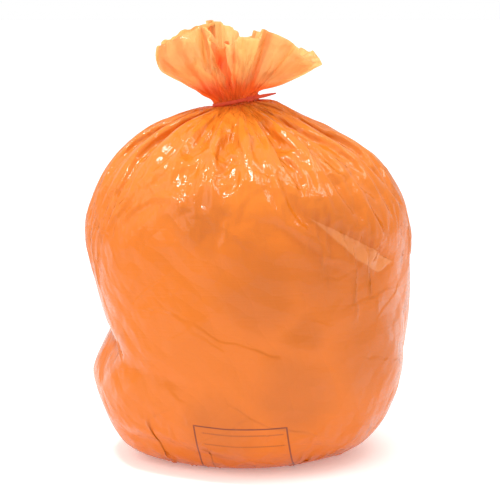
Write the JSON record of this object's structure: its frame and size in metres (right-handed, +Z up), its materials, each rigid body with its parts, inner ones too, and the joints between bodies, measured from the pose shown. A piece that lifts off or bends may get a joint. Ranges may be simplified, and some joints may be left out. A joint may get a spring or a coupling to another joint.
{
  "type": "filled plastic waste sack",
  "caption": "Filled thin-film waste sack with a rounded base, its gathered neck closed by a cable tie below a loose ruffle of film.",
  "frame": {"origin": "on the floor, under the middle of the whole part's bounding box", "axes": "+Z up from the base to the ruffle, front of the sack facing -Y, the tie's spare end pointing to +X"},
  "size_m": [0.4458, 0.428, 0.5886],
  "materials": {
    "sack_film": "glossy translucent orange polythene film",
    "tie_nylon": "satin red-orange nylon"
  },
  "bodies": {
    "root": {"sack": "sack_film", "cable_tie": "tie_nylon"}
  },
  "joints": []
}
